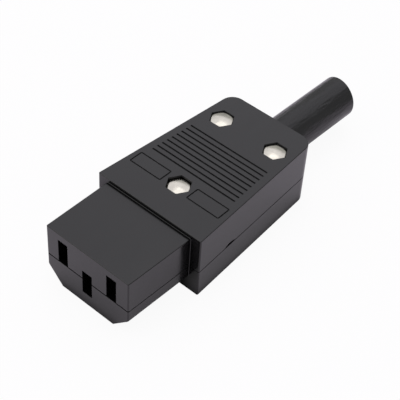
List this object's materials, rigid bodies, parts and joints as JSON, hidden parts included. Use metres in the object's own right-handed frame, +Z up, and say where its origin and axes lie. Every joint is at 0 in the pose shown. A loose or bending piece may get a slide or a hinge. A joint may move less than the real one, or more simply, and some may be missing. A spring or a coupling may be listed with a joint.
{
  "type": "in-line power socket",
  "caption": "Rewireable in-line power socket with a keyed nose, split moulded housing, folded spring contacts, screw terminals, cord clamp and tubular strain-relief boot.",
  "frame": {"origin": "centre of the bounding box at the flat underside", "axes": "+Y from the mating face to the cable boot, +Z up from the underside to the nut side, +X across the socket"},
  "size_m": [0.0296, 0.0856, 0.0164],
  "materials": {
    "shell_plastic": "moulded satin black",
    "boot_rubber": "smooth black",
    "contact_brass": "bright rolled",
    "plated_steel": "nickel plated",
    "clamp_plastic": "moulded matt black"
  },
  "bodies": {
    "root": {"upper_shell": "shell_plastic", "lower_shell": "shell_plastic", "cable_boot": "boot_rubber", "line_contact": "contact_brass", "neutral_contact": "contact_brass", "earth_contact": "contact_brass", "line_terminal_screw": "plated_steel", "neutral_terminal_screw": "plated_steel", "earth_terminal_screw": "plated_steel", "line_wire_clamp": "plated_steel", "neutral_wire_clamp": "plated_steel", "earth_wire_clamp": "plated_steel", "cord_clamp": "clamp_plastic", "cord_clamp_screw_left": "plated_steel", "cord_clamp_screw_right": "plated_steel", "housing_screw_front": "plated_steel", "housing_screw_rear_left": "plated_steel", "housing_screw_rear_right": "plated_steel", "housing_nut_front": "plated_steel", "housing_nut_rear_left": "plated_steel", "housing_nut_rear_right": "plated_steel"}
  },
  "joints": []
}
